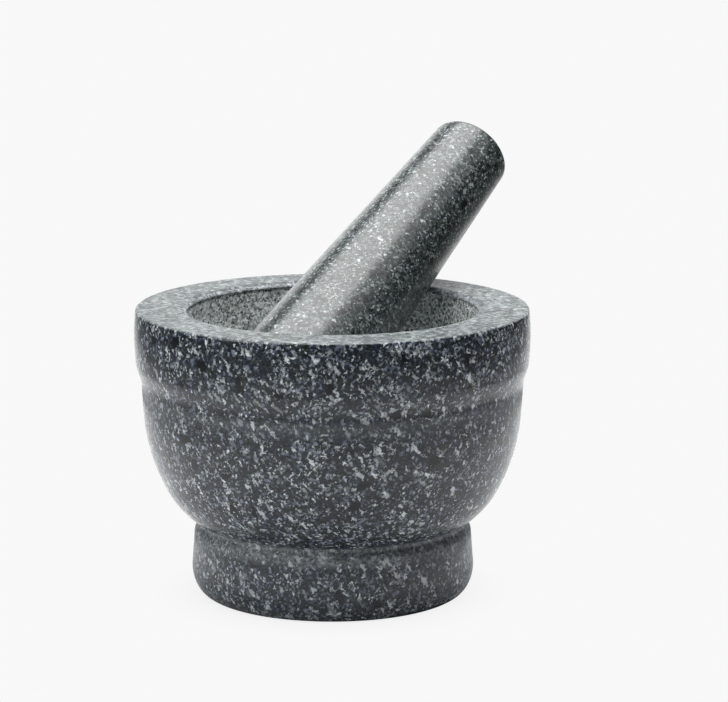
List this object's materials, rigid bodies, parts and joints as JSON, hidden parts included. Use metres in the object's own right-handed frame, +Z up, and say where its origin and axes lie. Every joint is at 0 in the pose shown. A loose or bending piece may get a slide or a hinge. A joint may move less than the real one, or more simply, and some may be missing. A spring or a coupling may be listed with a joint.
{
  "type": "mortar and pestle",
  "caption": "Footed granite mortar with a thick flat rim and raised band, and a tapered granite pestle leaning in its bowl.",
  "frame": {"origin": "centre of the flat underside of the mortar's foot, on the surface it stands on", "axes": "+Z up along the mortar's turning axis, +X the way the pestle leans, XZ a plane of mirror symmetry"},
  "size_m": [0.184, 0.15, 0.1706],
  "materials": {
    "mortar_stone": "satin",
    "pestle_stone": "polished"
  },
  "bodies": {
    "mortar": {"mortar": "mortar_stone"},
    "pestle": {"pestle": "pestle_stone"}
  },
  "joints": [
    {"name": "pestle_lift", "type": "slide", "parent": "mortar", "child": "pestle", "axis": [0, 0, 1], "range_m": [0, 0.075]}
  ]
}
